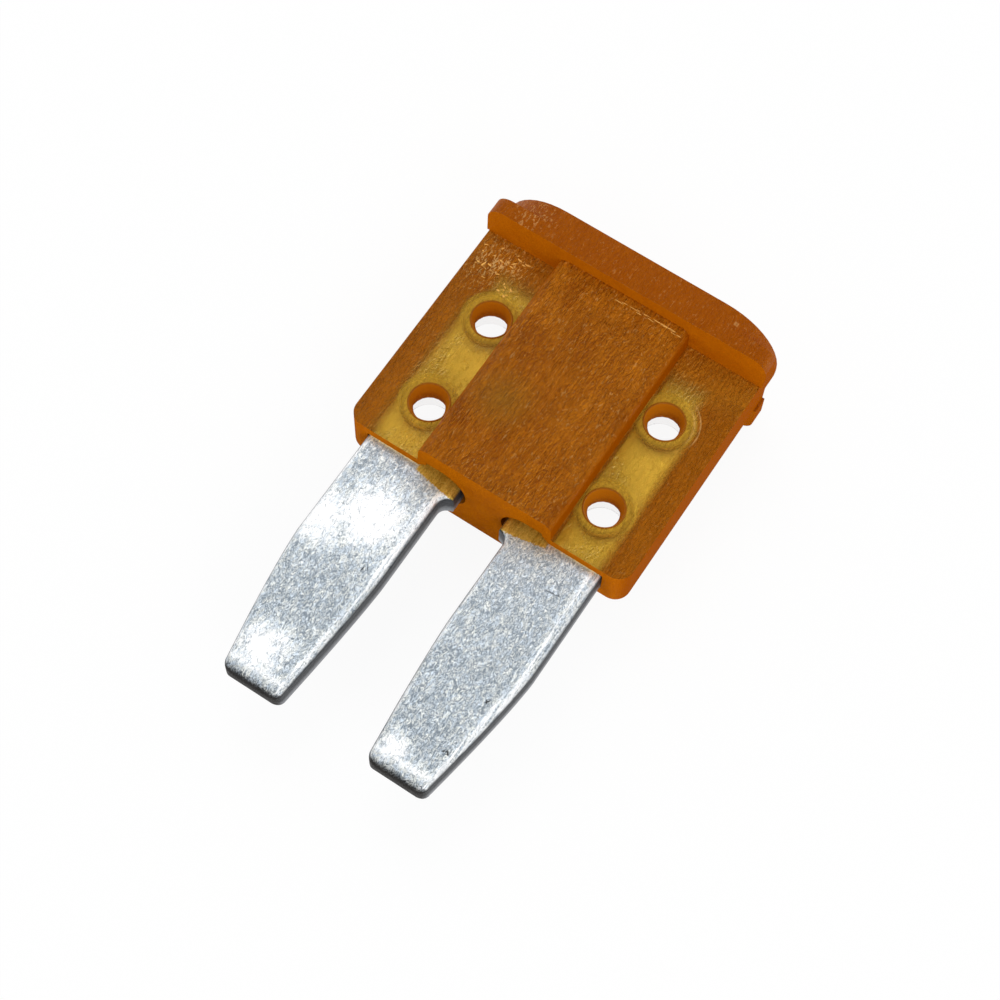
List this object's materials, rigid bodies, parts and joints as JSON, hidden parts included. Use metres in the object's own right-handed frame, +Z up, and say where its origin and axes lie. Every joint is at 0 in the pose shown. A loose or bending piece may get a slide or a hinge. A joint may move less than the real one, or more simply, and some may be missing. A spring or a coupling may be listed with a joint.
{
  "type": "automotive blade fuse",
  "caption": "Small two-leg automotive blade fuse: a clear amber plastic housing with a round-ended head, staked onto one plated zinc element with two tapered blades.",
  "frame": {"origin": "Middle of the footprint, on the plane that the fuse lies on", "axes": "+X across the width, +Y from the blade tips to the head, +Z up out of the front face"},
  "size_m": [0.0088, 0.0154, 0.0038],
  "materials": {
    "amber_plastic": "clear tinted, satin moulded faces",
    "plated_zinc": "bright tin plating with fine lengthwise scratches"
  },
  "bodies": {
    "root": {"housing": "amber_plastic", "fuse_element": "plated_zinc"}
  },
  "joints": []
}
